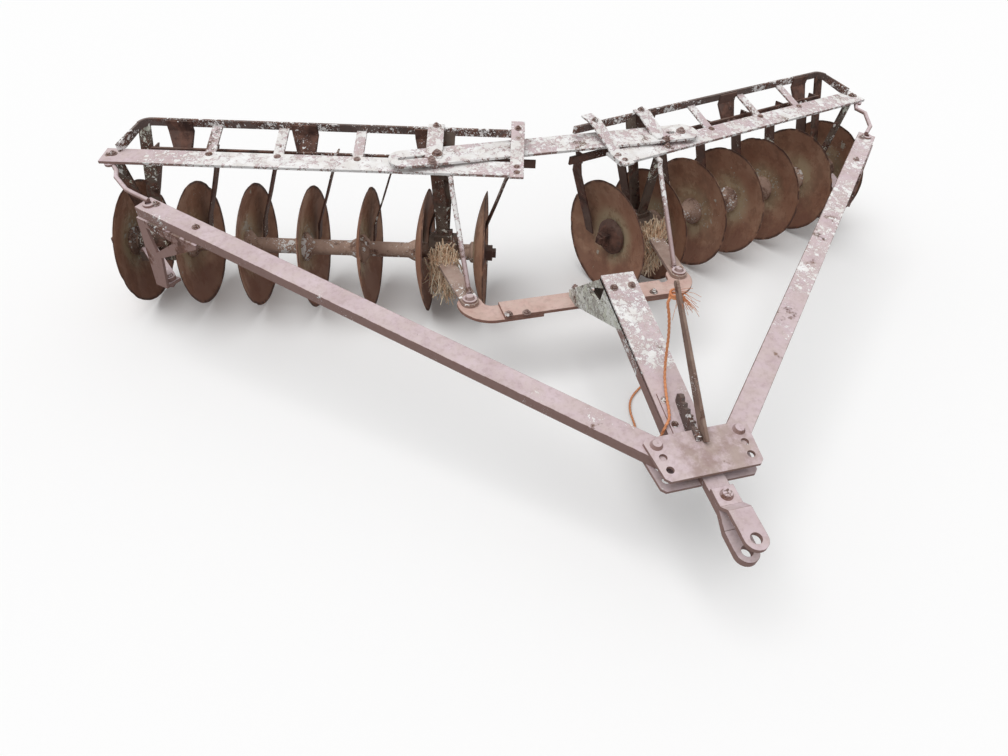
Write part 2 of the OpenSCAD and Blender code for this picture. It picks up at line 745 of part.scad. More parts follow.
// A tapered lever that stands on the upper plate and leans to the rear
lever_x = 6;
lever_low = [-hitch_y - 20, hitch_z + 8];
lever_high = [-hitch_y + 277, hitch_z + 319];
module trip_lever() {
    low_half = 18;
    high_half = 8;
    across = [lever_high[1] - lever_low[1], lever_low[0] - lever_high[0]] / norm(lever_high - lever_low);
    color(dark_rust) difference() {
        stand() side_plate(lever_x, bar_t) {
            polygon([lever_low - low_half * across, lever_low + low_half * across,
                lever_high + high_half * across, lever_high - high_half * across]);
            translate(lever_high) circle(r = high_half, $fn = 32);
        }
        draft_plane() translate([-200, -200, -200 + plate_t]) cube([400, 400, 200]);
    }
}
// Cross link in three pieces
module cross_link_ends() {
    inner = 170;
    color(primer) stand() for (s = [left, right]) on_side(s)
        translate([0, 0, link_top - link_t]) difference() {
            linear_extrude(link_t) {
                translate([link_x, pin_y]) circle(r = link_w / 2, $fn = round_fn);
                translate([link_x - link_bend, pin_y]) intersection() {
                    difference() {
                        circle(r = link_bend + link_w / 2, $fn = 96);
                        circle(r = link_bend - link_w / 2, $fn = round_fn);
                    }
                    translate([0, -far]) square([far, far]);
                }
                translate([inner, link_y - link_w / 2]) square([link_x - link_bend - inner, link_w]);
            }
            hole(link_x, pin_y, pin_hole_r);
        }
}
module cross_link_middle() {
    half = link_x - link_bend - 18;
    color(primer) stand() translate([-half, link_y - link_w / 2, link_top])
        cube([2 * half, link_w, link_t]);
}

// Twine, a tube along a smooth curve through its route
function route_at(i) = twine_route[min(max(i, 0), len(twine_route) - 1)];
function curve(a, b, c, d, t) =
    (2 * b + (c - a) * t + (2 * a - 5 * b + 4 * c - d) * t * t + (3 * b - a - 3 * c + d) * t * t * t) / 2;
// A round tube along a path, its ends cut square
function unit(v) = v / norm(v);
module round_along(path, r, sides) {
    last = len(path) - 1;
    along = [for (k = [0 : last]) unit(path[min(k + 1, last)] - path[max(k - 1, 0)])];
    // Each ring keeps the turn of the ring before it
    function turned(k) = k == 0 ? [unit(cross(along[0], [0, 0, 1]))]
        : let (before = turned(k - 1), n = before[k - 1])
            concat(before, [unit(n - (n * along[k]) * along[k])]);
    side = turned(last);
    points = [for (k = [0 : last]) for (j = [0 : sides - 1]) let (a = j * 360 / sides)
        path[k] + r * (cos(a) * side[k] + sin(a) * cross(along[k], side[k]))];
    walls = [for (k = [0 : last - 1]) for (j = [0 : sides - 1]) let (m = (j + 1) % sides)
        [k * sides + j, (k + 1) * sides + j, (k + 1) * sides + m, k * sides + m]];
    first_end = [for (j = [0 : sides - 1]) j];
    last_end = [for (j = [sides - 1 : -1 : 0]) last * sides + j];
    polyhedron(points, concat(walls, [first_end, last_end]), convexity = 8);
}
module twine() {
    per_step = 2;
    color("#c8703a") stand() round_along(
        [for (k = [0 : (len(twine_route) - 1) * per_step]) let (i = floor(k / per_step))
            curve(route_at(i - 1), route_at(i), route_at(i + 1), route_at(i + 2),
                k / per_step - i)], twine_r, 8);
}

draft_bar(left);  // draft_bar_left
draft_bar(right);  // draft_bar_right
outer_bracket(left);  // outer_bracket_left
outer_bracket(right);  // outer_bracket_right
hitch_plate(0);  // hitch_plate_upper
hitch_plate(-draft_h - plate_t);  // hitch_plate_lower
pin_bolts();
hitch_bar();
hitch_jaw();
tongue();
tongue_casting();
latch_bar();
trip_lever();
cross_link_ends();
cross_link_middle();
inner_arm(left);  // inner_arm_left
inner_arm(right);  // inner_arm_right
outer_arm(left);  // outer_arm_left
outer_arm(right);  // outer_arm_right
inner_stay(left);  // inner_stay_left
inner_stay(right);  // inner_stay_right
outer_stay(left);  // outer_stay_left
outer_stay(right);  // outer_stay_right
front_bar(left);  // front_bar_left
front_bar(right);  // front_bar_right
rear_rail(left);  // rear_rail_left
rear_rail(right);  // rear_rail_right
rungs(left);  // rungs_left
rungs(right);  // rungs_right
straps(left);  // straps_left
straps(right);  // straps_right
joining_bar();
scraper_bar(left);  // scraper_bar_left
scraper_bar(right);  // scraper_bar_right
scrapers(left);  // scrapers_left
scrapers(right);  // scrapers_right
standards(left);  // standards_left
standards(right);  // standards_right
axle(left);  // axle_left
axle(right);  // axle_right
spools(left);  // spools_left
spools(right);  // spools_right
discs(left);  // discs_left
discs(right);  // discs_right
twine();
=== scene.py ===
"""The disc harrow as it stands in the photograph: worn primer, rust, lichen, straw and a twine."""
import math
import random

import bmesh
import bpy
import numpy as np
from mathutils import Matrix, Vector
from mathutils.bvhtree import BVHTree


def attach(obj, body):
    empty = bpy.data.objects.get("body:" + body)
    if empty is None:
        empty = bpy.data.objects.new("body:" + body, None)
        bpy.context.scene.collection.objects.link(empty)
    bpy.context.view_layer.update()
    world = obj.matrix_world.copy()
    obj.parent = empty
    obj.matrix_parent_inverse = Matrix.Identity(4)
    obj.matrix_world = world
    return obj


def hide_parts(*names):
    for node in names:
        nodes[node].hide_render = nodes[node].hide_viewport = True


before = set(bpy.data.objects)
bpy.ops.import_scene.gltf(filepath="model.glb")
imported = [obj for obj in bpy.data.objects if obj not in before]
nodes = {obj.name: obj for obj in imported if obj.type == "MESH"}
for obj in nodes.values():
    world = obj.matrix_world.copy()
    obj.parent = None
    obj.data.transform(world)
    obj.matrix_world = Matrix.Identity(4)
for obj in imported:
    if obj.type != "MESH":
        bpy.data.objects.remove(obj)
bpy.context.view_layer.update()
scene = bpy.context.scene
MM = 0.001

# Places of the harrow, in millimetres, as in its solids
MID_Y = -503.067
HUB_X, AXLE_Z, SWEEP = 310, 242, 17
DISC_GAP, DISC_R, FLAT_R, DISH, DISC_T = 228.6, 242, 62, 46, 5
ROTOR_SHIFT, JOURNAL_R, DISCS = -8, 32, 7
FRAME_FRONT, FRAME_RISE, FRAME_TILT = 102, 378, 8
GANG_END = (DISCS - 1) * DISC_GAP
BAR_END = GANG_END - 40
STRAP_U = 0.6 * DISC_GAP
END_STRAP_U = {"left": -165, "right": -95}
RUNG_U = [share * DISC_GAP for share in (1.82, 3.09, 4.18)]
HANGER_U = [share * DISC_GAP for share in (0.74, 2.756, 4.8)]
BEARING_U = [0.5 * DISC_GAP, GANG_END - 0.5 * DISC_GAP]
SIDES = {"left": -1, "right": 1}


def turn(axis, degrees):
    return Matrix.Rotation(math.radians(degrees), 4, axis)


def shift(x, y, z):
    return Matrix.Translation((x, y, z))


STAND = shift(0, -MID_Y, 0)


def gang(side):
    """Along a gang from its inner hub, at the height of the axle."""
    return STAND @ Matrix.Diagonal((SIDES[side], 1, 1, 1)) @ shift(HUB_X, 0, AXLE_Z) @ turn("Z", SWEEP)


def gang_frame(side):
    return gang(side) @ shift(0, -FRAME_FRONT, FRAME_RISE) @ turn("X", FRAME_TILT)


def at(place, point):
    """A point of a placed part, in metres."""
    return (place @ Vector(point)) * MM


DRAFT = STAND @ shift(0, -1280, 360) @ turn("X", 9)
TONGUE = STAND @ shift(0, -1262, 330) @ turn("X", 17)
JOINER = STAND @ shift(0, 22, 644) @ turn("X", 8) @ turn("Z", 1.3)
DRAFT_ANGLE = math.degrees(math.atan2(1331.6, 1329.2))


def draft_line(side):
    return DRAFT @ Matrix.Diagonal((SIDES[side], 1, 1, 1)) @ shift(122, 0, 0) @ turn("Z", DRAFT_ANGLE)


# Camera as the photograph was taken
def set_camera():
    yaw, pitch, roll = 0.2936, -0.7089, 0.0335
    ahead = Vector((math.sin(yaw) * math.cos(pitch), math.cos(yaw) * math.cos(pitch), math.sin(pitch)))
    right = Vector((math.cos(yaw), -math.sin(yaw), 0))
    up = right.cross(ahead)
    across = math.cos(roll) * right + math.sin(roll) * up
    upward = math.cos(roll) * up - math.sin(roll) * right
    data = bpy.data.cameras.new("camera")
    data.sensor_width = 36
    data.lens = 24.857
    camera = bpy.data.objects.new("camera", data)
    camera.matrix_world = Matrix((
        (across.x, upward.x, -ahead.x, -0.883),
        (across.y, upward.y, -ahead.y, -2.393 - MID_Y * MM),
        (across.z, upward.z, -ahead.z, 1.687),
        (0, 0, 0, 1)))
    scene.collection.objects.link(camera)
    scene.camera = camera


set_camera()


# Helpers for node trees
def feed(tree, plug, value):
    if isinstance(value, bpy.types.NodeSocket):
        tree.links.new(value, plug)
    elif value is not None:
        plug.default_value = value


def put(tree, kind, feeds=None, **settings):
    node = tree.nodes.new(kind)
    for name, value in settings.items():
        setattr(node, name, value)
    for name, value in (feeds or {}).items():
        feed(tree, node.inputs[name], value)
    return node


def calc(tree, operation, *values, clamp=False):
    node = put(tree, "ShaderNodeMath", operation=operation, use_clamp=clamp)
    for plug, value in zip(node.inputs, values):
        feed(tree, plug, value)
    return node.outputs[0]


def ramp(tree, value, low, high):
    """0 below low, 1 above high, smooth between them."""
    node = put(tree, "ShaderNodeMapRange", {"Value": value, "From Min": low, "From Max": high},
               interpolation_type="SMOOTHSTEP")
    return node.outputs["Result"]


def noise(tree, place, scale, detail=5.0, rough=0.55):
    node = put(tree, "ShaderNodeTexNoise", {"Vector": place, "Scale": scale, "Detail": detail,
                                            "Roughness": rough})
    return node.outputs["Fac"]


def tint(tree, share, below, above):
    """below where share is 0, above where it is 1; both are colours."""
    node = put(tree, "ShaderNodeMix", data_type="RGBA")
    feed(tree, node.inputs[0], share)
    feed(tree, node.inputs[6], below)
    feed(tree, node.inputs[7], above)
    return node.outputs[2]


def new_effect(name, ins, outs):
    """An effect's node group with its named inputs and outputs."""
    tree = bpy.data.node_groups.new(name, "ShaderNodeTree")
    for label, value in ins.items():
        kind = "NodeSocketVector" if value is None else "NodeSocketFloat"
        plug = tree.interface.new_socket(label, in_out="INPUT", socket_type=kind)
        if value is not None:
            plug.default_value = value
    for label in outs:
        tree.interface.new_socket(label, in_out="OUTPUT", socket_type="NodeSocketFloat")
    return tree, tree.nodes.new("NodeGroupInput").outputs, tree.nodes.new("NodeGroupOutput").inputs


def scaled(tree, value, scale):
    return calc(tree, "MULTIPLY", value, scale)


# Shared effects
def make_rust_patches():
    tree, given, out = new_effect(
        "rust_patches", {"Place": None, "Scale": 6.0, "Cover": 0.5, "Edge": 0.04}, ("Mask", "Tone", "Height"))
    broad = noise(tree, given["Place"], given["Scale"], 6.0, 0.62)
    fine = noise(tree, given["Place"], scaled(tree, given["Scale"], 6.0), 3.0, 0.65)
    field = calc(tree, "MULTIPLY_ADD", fine, 0.35, calc(tree, "SUBTRACT", broad, 0.175))
    level = calc(tree, "MULTIPLY_ADD", given["Cover"], -0.44, 0.72)
    mask = ramp(tree, field, calc(tree, "SUBTRACT", level, given["Edge"]),
                calc(tree, "ADD", level, given["Edge"]))
    tone = noise(tree, given["Place"], scaled(tree, given["Scale"], 2.6), 4.0, 0.68)
    feed(tree, out["Mask"], mask)
    feed(tree, out["Tone"], ramp(tree, tone, 0.3, 0.7))
    feed(tree, out["Height"], calc(tree, "MULTIPLY", mask, fine))
    return tree


def make_lichen_crust():
    tree, given, out = new_effect("lichen_crust", {"Place": None, "Spots": 30.0, "Cover": 0.5},
                                  ("Mask", "Tone", "Height"))
    warp = put(tree, "ShaderNodeTexNoise", {"Vector": given["Place"], "Detail": 2.0,
                                            "Scale": scaled(tree, given["Spots"], 1.6)})
    off = put(tree, "ShaderNodeVectorMath", {0: warp.outputs["Color"], 1: (0.5, 0.5, 0.5)},
              operation="SUBTRACT")
    off = put(tree, "ShaderNodeVectorMath", {0: off.outputs[0], "Scale": 0.035}, operation="SCALE")
    place = put(tree, "ShaderNodeVectorMath", {0: given["Place"], 1: off.outputs[0]}, operation="ADD")
    where = noise(tree, given["Place"], scaled(tree, given["Spots"], 0.16), 3.0, 0.6)
    reach = calc(tree, "MULTIPLY_ADD", calc(tree, "SUBTRACT", where, 0.5), 2.6,
                 calc(tree, "MULTIPLY_ADD", given["Cover"], 1.3, -0.35))
    masks, tones = [], []
    for size, share in ((1.0, 1.0), (2.3, 0.9), (5.0, 0.75)):
        cells = put(tree, "ShaderNodeTexVoronoi", {"Vector": place.outputs[0],
                                                   "Scale": scaled(tree, given["Spots"], size)})
        chance = put(tree, "ShaderNodeSeparateColor", {"Color": cells.outputs["Color"]})
        radius = calc(tree, "MULTIPLY", reach, calc(tree, "MULTIPLY_ADD", chance.outputs[0], 0.8, 0.15))
        inside = calc(tree, "SUBTRACT", scaled(tree, radius, share), cells.outputs["Distance"])
        masks.append(ramp(tree, inside, -0.01, 0.05))
        tones.append(chance.outputs[1])
    mask = calc(tree, "MAXIMUM", calc(tree, "MAXIMUM", masks[0], masks[1]), masks[2])
    fine = noise(tree, given["Place"], scaled(tree, given["Spots"], 9.0), 2.0, 0.6)
    mask = calc(tree, "MULTIPLY", mask, ramp(tree, fine, 0.24, 0.36))
    feed(tree, out["Mask"], mask)
    feed(tree, out["Tone"], calc(tree, "MULTIPLY_ADD", tones[0], 0.5, scaled(tree, fine, 0.4)))
    feed(tree, out["Height"], calc(tree, "MULTIPLY", mask, fine))
    return tree


def make_settled_dust():
    tree, given, out = new_effect("settled_dust", {"Place": None, "Amount": 0.5}, ("Mask",))
    face = put(tree, "ShaderNodeNewGeometry")
    up = put(tree, "ShaderNodeSeparateXYZ", {"Vector": face.outputs["Normal"]})
    cloud = noise(tree, given["Place"], 22.0, 3.0, 0.65)
    lying = calc(tree, "MULTIPLY", ramp(tree, up.outputs["Z"], 0.25, 0.95), ramp(tree, cloud, 0.3, 0.7))
    feed(tree, out["Mask"], calc(tree, "MULTIPLY", lying, given["Amount"]))
    return tree


def make_low_soil():
    tree, given, out = new_effect("low_soil", {"Place": None, "Top": 0.12}, ("Mask",))
    height = put(tree, "ShaderNodeSeparateXYZ", {"Vector": given["Place"]})
    cloud = noise(tree, given["Place"], 14.0, 3.0, 0.6)
    level = calc(tree, "MULTIPLY", given["Top"], calc(tree, "MULTIPLY_ADD", cloud, 1.6, 0.2))
    feed(tree, out["Mask"], ramp(tree, calc(tree, "SUBTRACT", level, height.outputs["Z"]), -0.02, 0.07))
    return tree


EFFECTS = {"rust": make_rust_patches(), "lichen": make_lichen_crust(),
           "dust": make_settled_dust(), "soil": make_low_soil()}


def effect(tree, name, place, **values):
    node = tree.nodes.new("ShaderNodeGroup")
    node.node_tree = EFFECTS[name]
    feed(tree, node.inputs["Place"], place)
    for label, value in values.items():
        feed(tree, node.inputs[label], value)
    return node.outputs


def colour(red, green, blue):
    """A colour read as 0 to 255 on a screen, made linear."""
    return tuple(((v / 255 + 0.055) / 1.055) ** 2.4 for v in (red, green, blue)) + (1.0,)


def new_material(name):
    material = bpy.data.materials.new(name)
    material.use_nodes = True
    tree = material.node_tree
    tree.nodes.clear()
    shader = tree.nodes.new("ShaderNodeBsdfPrincipled")
    end = tree.nodes.new("ShaderNodeOutputMaterial")
    tree.links.new(shader.outputs[0], end.inputs["Surface"])
    place = put(tree, "ShaderNodeTexCoord").outputs["Object"]
    return material, tree, shader, place


def bump(tree, shader, height, depth):
    node = put(tree, "ShaderNodeBump", {"Height": height, "Distance": depth, "Strength": 1.0})
    tree.links.new(node.outputs[0], shader.inputs["Normal"])


def old_steel(name, paint, faded, rust_dark, rust_light, crust_pale, crust_green, rust, lichen,
              rust_scale=7.0, spots=32.0, dust=0.3, rough=0.72, depth=0.0009, grows=None,
              soil_at=None, dents=0.0, side_shade=None, shade_inside=None):
    """Weathered steel: paint under rust patches, bare brown edges, lichen and dust.

    grows is the axis and the two places between which the lichen sets in; soil_at a place and reach;
    dents the height of shallow waves; the side colour is painted shade, laid on faces turned sideways or down;
    the inside width is half the width of an inside painted dark as shade."""
    material, tree, shader, place = new_material(name)
    cloud = ramp(tree, noise(tree, place, 9.0, 4.0, 0.6), 0.3, 0.7)
    base = tint(tree, cloud, paint, faded)
    # Painted shade: faces turned sideways or down take the darker side colour
    if side_shade:
        face = put(tree, "ShaderNodeNewGeometry")
        up = put(tree, "ShaderNodeSeparateXYZ", {"Vector": face.outputs["Normal"]})
        base = tint(tree, ramp(tree, up.outputs["Z"], 0.25, 0.85), side_shade, base)
    streak = ramp(tree, noise(tree, place, 60.0, 2.0, 0.7), 0.42, 0.72)
    base = tint(tree, scaled(tree, streak, 0.22), base, rust_light)
    patches = effect(tree, "rust", place, Scale=rust_scale, Cover=rust)
    brown = tint(tree, patches["Tone"], rust_dark, rust_light)
    base = tint(tree, patches["Mask"], base, brown)
    rim = put(tree, "ShaderNodeAttribute", attribute_name="edge").outputs["Fac"]
    rubbed = ramp(tree, noise(tree, place, 30.0, 3.0, 0.6), 0.3, 0.62)
    worn = calc(tree, "MULTIPLY", rim, rubbed)
    base = tint(tree, scaled(tree, worn, 0.8), base, brown)
    cover = lichen
    if grows:
        parts = put(tree, "ShaderNodeSeparateXYZ", {"Vector": place})
        cover = scaled(tree, ramp(tree, parts.outputs[grows[0]], grows[1], grows[2]), lichen)
    crust = effect(tree, "lichen", place, Spots=spots, Cover=cover)
    base = tint(tree, crust["Mask"], base, tint(tree, crust["Tone"], crust_pale, crust_green))
    film = effect(tree, "dust", place, Amount=dust)["Mask"]
    if soil_at:
        away = put(tree, "ShaderNodeVectorMath", {0: place, 1: soil_at[0]}, operation="DISTANCE")
        spread = calc(tree, "MULTIPLY_ADD", cloud, -0.5 * soil_at[1], away.outputs["Value"])
        soil = calc(tree, "SUBTRACT", 1.0, ramp(tree, spread, 0, soil_at[1]))
        waves = ramp(tree, noise(tree, place, 24.0, 4.0, 0.7), 0.36, 0.6)
        stain = scaled(tree, calc(tree, "MULTIPLY", soil, waves), 0.62)
        base = tint(tree, stain, base, colour(142, 116, 104))
    base = tint(tree, film, base, colour(200, 186, 172))
    # Painted shade: faces nearer the middle than the given half width are painted dark brown, as the shade
    # inside the casting
    if shade_inside:
        parts = put(tree, "ShaderNodeSeparateXYZ", {"Vector": place})
        depth_in = calc(tree, "ABSOLUTE", parts.outputs["X"])
        inside_shade = tint(tree, cloud, colour(36, 29, 26), colour(78, 64, 54))
        base = tint(tree, ramp(tree, depth_in, shade_inside, shade_inside + 0.001), inside_shade, base)
    feed(tree, shader.inputs["Base Color"], base)
    rough_here = calc(tree, "MULTIPLY_ADD", patches["Mask"], 0.14, rough)
    feed(tree, shader.inputs["Roughness"], calc(tree, "MAXIMUM", rough_here, crust["Mask"], clamp=True))
    shader.inputs["Specular IOR Level"].default_value = 0.3
    height = calc(tree, "ADD", calc(tree, "MULTIPLY", patches["Height"], 0.7), crust["Height"])
    height = calc(tree, "MULTIPLY_ADD", streak, 0.12, height)
    if dents:
        height = calc(tree, "MULTIPLY_ADD", cloud, dents, height)
    bump(tree, shader, height, depth)
    return material


RUST_DARK, RUST_RED, RUST_PALE = colour(78, 56, 50), colour(124, 90, 78), colour(158, 128, 114)
CHALK, CHALK_GREY, CHALK_GREEN = colour(255, 255, 255), colour(226, 224, 222), colour(196, 200, 174)
# The third mauve is painted shade for faces turned sideways or down
MAUVE, MAUVE_FADED, MAUVE_SIDE_SHADE = colour(213, 195, 200), colour(198, 178, 182), colour(150, 122, 116)


def painted(name, rust, lichen, **more):
    # Primer steel; its darker mauve is painted shade on side faces
    return old_steel(name, MAUVE, MAUVE_FADED, RUST_DARK, RUST_RED, CHALK, CHALK_GREY, rust, lichen,
                     side_shade=MAUVE_SIDE_SHADE, **more)


primer_worn = painted("primer_worn", 0.06, 0.26, spots=46.0)
primer_bar_right = painted("primer_bar_right", 0.08, 0.7, spots=52.0, grows=("Y", -0.8, -0.1))
primer_front_left = painted("primer_front_left", 0.1, 1.05, spots=36.0, grows=("X", -1.7, -1.25),
                            depth=0.0014)
primer_plate = painted("primer_plate", 0.16, 0.14, spots=44.0, soil_at=((0.03, -0.84, 0.36), 0.16),
                       dents=5.0)
primer_bracket = painted("primer_bracket", 0.4, 0.24, rust_scale=9.0, spots=46.0)
# Its side colour is painted shade for faces turned sideways or down
primer_link = old_steel("primer_link", colour(214, 186, 178), colour(198, 164, 154), RUST_DARK, RUST_RED,
                        CHALK, CHALK_GREY, rust=0.16, lichen=0.12, spots=46.0, side_shade=colour(148, 110, 98))
primer_pins = painted("primer_pins", 0.34, 0.14, rust_scale=20.0)
primer_crusted = painted("primer_crusted", 0.26, 0.92, spots=36.0, depth=0.0016)
primer_tongue = painted("primer_tongue", 0.1, 0.82, spots=50.0, grows=("Y", -0.9, -0.3), depth=0.0014)
stay_crusted = painted("stay_crusted", 0.3, 0.95, spots=40.0, grows=("Z", 0.3, 0.5))
rail_crusted = old_steel("rail_crusted", colour(112, 98, 94), colour(88, 74, 70), RUST_DARK, RUST_RED,
                         CHALK, CHALK_GREY, rust=0.5, lichen=0.6, spots=44.0, dust=0.1, depth=0.0018)
steel_dark = old_steel("steel_dark", colour(104, 82, 74), colour(84, 62, 56), colour(60, 42, 38),
                       RUST_RED, CHALK, CHALK_GREY, rust=0.5, lichen=0.34, dust=0.1, rough=0.8)
lever_steel = old_steel("lever_steel", colour(146, 124, 112), colour(118, 96, 86), colour(84, 64, 56),
                        RUST_RED, CHALK, CHALK_GREY, rust=0.35, lichen=0.2, rust_scale=14.0, spots=60.0,
                        dust=0.15)
scraper_rust = old_steel("scraper_rust", colour(112, 92, 84), colour(90, 70, 62), RUST_DARK, RUST_RED,
                         CHALK, CHALK_GREEN, rust=0.42, lichen=0.36, dust=0.1, rough=0.8)
# Its inside is painted dark as shade
cast_pale = old_steel("cast_pale", colour(190, 186, 178), colour(150, 144, 136), colour(70, 58, 52),
                      RUST_RED, CHALK, CHALK_GREEN, rust=0.36, lichen=0.9, rust_scale=15.0, spots=60.0,
                      dust=0.1, depth=0.0016, shade_inside=0.0445)
standard_cast = old_steel("standard_cast", colour(116, 104, 94), colour(92, 78, 70), colour(62, 48, 42),
                          RUST_RED, CHALK, CHALK_GREEN, rust=0.45, lichen=0.5, rust_scale=11.0, spots=36.0,
                          dust=0.15, rough=0.82, depth=0.0014)
arm_steel = old_steel("arm_steel", colour(176, 152, 142), colour(150, 126, 116), RUST_DARK, RUST_PALE,
                      CHALK, CHALK_GREY, rust=0.3, lichen=0.5, spots=34.0, depth=0.0012)
cast_brown = old_steel("cast_brown", colour(198, 170, 154), colour(168, 140, 126), colour(100, 76, 66),
                       RUST_PALE, CHALK, CHALK_GREY, rust=0.4, lichen=0.42, rust_scale=11.0, dust=0.15,
                       rough=0.82, depth=0.0014)
bolt_rust = old_steel("bolt_rust", colour(156, 134, 130), colour(128, 104, 98), colour(70, 48, 40),
                      RUST_RED, CHALK, CHALK_GREY, rust=0.45, lichen=0.5, rust_scale=24.0, spots=60.0, dust=0.2,
                      rough=0.85, depth=0.0008)


def make_disc_steel():
    """Disc steel: dark brown, greener near the hub, red where soil stains the low part."""
    material, tree, shader, place = new_material("disc_steel_old")
    out = put(tree, "ShaderNodeAttribute", attribute_name="out_share").outputs["Fac"]
    cloud = ramp(tree, noise(tree, place, 5.0, 4.0, 0.6), 0.3, 0.7)
    base = tint(tree, cloud, colour(152, 108, 86), colour(182, 144, 120))
    centre = calc(tree, "SUBTRACT", 1.0, ramp(tree, out, 0.3, 0.62))
    base = tint(tree, scaled(tree, centre, 0.65), base, colour(198, 186, 154))
    patches = effect(tree, "rust", place, Scale=9.0, Cover=0.5)
    base = tint(tree, scaled(tree, patches["Mask"], 0.42), base,
                tint(tree, patches["Tone"], colour(104, 72, 58), colour(168, 122, 100)))
    stain = effect(tree, "soil", place, Top=0.17)["Mask"]
    base = tint(tree, scaled(tree, stain, 0.7), base, colour(136, 96, 80))
    rim = ramp(tree, out, 0.93, 0.985)
    worn = calc(tree, "MULTIPLY", rim, ramp(tree, noise(tree, place, 26.0, 3.0, 0.6), 0.3, 0.55))
    base = tint(tree, scaled(tree, worn, 0.85), base, colour(66, 46, 40))
    crust = effect(tree, "lichen", place, Spots=26.0,
                   Cover=calc(tree, "MULTIPLY_ADD", centre, 0.3, 0.16))
    base = tint(tree, scaled(tree, crust["Mask"], 0.85), base,
                tint(tree, crust["Tone"], colour(214, 208, 200), colour(170, 168, 146)))
    film = effect(tree, "dust", place, Amount=0.3)["Mask"]
    base = tint(tree, film, base, colour(178, 158, 144))
    feed(tree, shader.inputs["Base Color"], base)
    shader.inputs["Specular IOR Level"].default_value = 0.35
    feed(tree, shader.inputs["Roughness"], calc(tree, "MULTIPLY_ADD", patches["Mask"], 0.16, 0.68))
    pits = noise(tree, place, 150.0, 2.0, 0.7)
    height = calc(tree, "MULTIPLY_ADD", pits, 0.3, calc(tree, "ADD", patches["Height"], crust["Height"]))
    bump(tree, shader, height, 0.0011)
    return material


disc_steel = make_disc_steel()


def make_fibre(name, low, high, rough):
    """Straw or twine: every stalk or strand a little different in colour."""
    material, tree, shader, place = new_material(name)
    shade = put(tree, "ShaderNodeAttribute", attribute_name="strand").outputs["Fac"]
    fine = ramp(tree, noise(tree, place, 160.0, 3.0, 0.6), 0.3, 0.7)
    share = calc(tree, "MULTIPLY_ADD", fine, 0.4, scaled(tree, shade, 0.6))
    feed(tree, shader.inputs["Base Color"], tint(tree, share, low, high))
    shader.inputs["Roughness"].default_value = rough
    bump(tree, shader, fine, 0.0004)
    return material


twine_strands = make_fibre("twine_strands", colour(186, 96, 52), colour(240, 176, 128), 0.7)
straw_dry = make_fibre("straw_dry", colour(226, 178, 140), colour(255, 250, 228), 0.85)
soil_dry = make_fibre("soil_dry", colour(140, 108, 84), colour(206, 174, 144), 0.95)


# Pieces
def new_piece(name, mesh, material, body="frame", replaced=()):
    mesh.materials.clear()
    mesh.materials.append(material)
    piece = bpy.data.objects.new(name, mesh)
    scene.collection.objects.link(piece)
    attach(piece, body)
    if replaced:
        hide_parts(*replaced)
    return piece


def merged_copy(node):
    """The node's faces as one joined mesh with its flat faces whole."""
    body = bmesh.new()
    body.from_mesh(nodes[node].data)
    bmesh.ops.remove_doubles(body, verts=body.verts, dist=1e-5)
    bmesh.ops.dissolve_limit(body, angle_limit=math.radians(0.5), verts=body.verts, edges=body.edges)
    return body


def dress(node, material, body="frame", bevel=1.2):
    """Stands for a CAD node, with its edges rounded by wear."""
    work = merged_copy(node)
    edge_mark = work.faces.layers.float.new("edge")
    if bevel:
        sharp = [e for e in work.edges
                 if len(e.link_faces) == 2 and e.calc_face_angle(0) > math.radians(30)]
        made = bmesh.ops.bevel(work, geom=sharp, offset=bevel * MM, offset_type="OFFSET", segments=2,
                               profile=0.5, affect="EDGES", clamp_overlap=True)
        for face in made["faces"]:
            face[edge_mark] = 1.0
    mesh = bpy.data.meshes.new(node + "_worn")
    work.to_mesh(mesh)
    work.free()
    mesh.shade_smooth()
    mesh.set_sharp_from_angle(angle=math.radians(38))
    piece = new_piece(node + "_worn", mesh, material, body, (node,))
    weigh = piece.modifiers.new("flat_faces_first", "WEIGHTED_NORMAL")
    weigh.keep_sharp = True
    return piece


def ease_journals(mesh, side):
    """Worn journals, 0.5 mm thinner, whose flat faces turn clear of the housings."""
    hub = at(gang(side), (0, 0, 0))
    along = (at(gang(side), (1000, 0, 0)) - hub).normalized()
    for v in mesh.vertices:
        on_axis = hub + (v.co - hub).dot(along) * along
        out = v.co - on_axis
        if abs(out.length - JOURNAL_R * MM) < 0.4 * MM:
            v.co = on_axis + out * (1 - 0.5 / JOURNAL_R)


# Node, finish, edge rounding and material slot of each steel piece
STEEL_PIECES = [
    ("draft_bar_left", primer_worn, 1.6, "old_primer"),
    ("draft_bar_right", primer_bar_right, 1.6, "old_primer"),
    ("outer_bracket_left", primer_bracket, 1.4, "old_primer"),
    ("outer_bracket_right", primer_bracket, 1.4, "old_primer"),
    ("hitch_plate_upper", primer_plate, 1.6, "old_primer"),
    ("hitch_plate_lower", primer_worn, 1.6, "old_primer"),
    ("hitch_bar", primer_worn, 2.0, "old_primer"),
    ("hitch_jaw", primer_worn, 2.0, "old_primer"),
    ("tongue", primer_tongue, 1.6, "old_primer"),
    ("tongue_casting", cast_pale, 2.0, "cast_rusty"),
    ("latch_bar", rail_crusted, 1.0, "cast_rusty"),
    ("trip_lever", lever_steel, 1.2, "bare_steel"),
    ("cross_link_ends", primer_link, 1.4, "old_primer"),
    ("cross_link_middle", primer_link, 1.4, "old_primer"),
    ("joining_bar", primer_crusted, 1.4, "old_primer"),
    ("pin_bolts", primer_pins, 1.2, "bare_steel"),
]
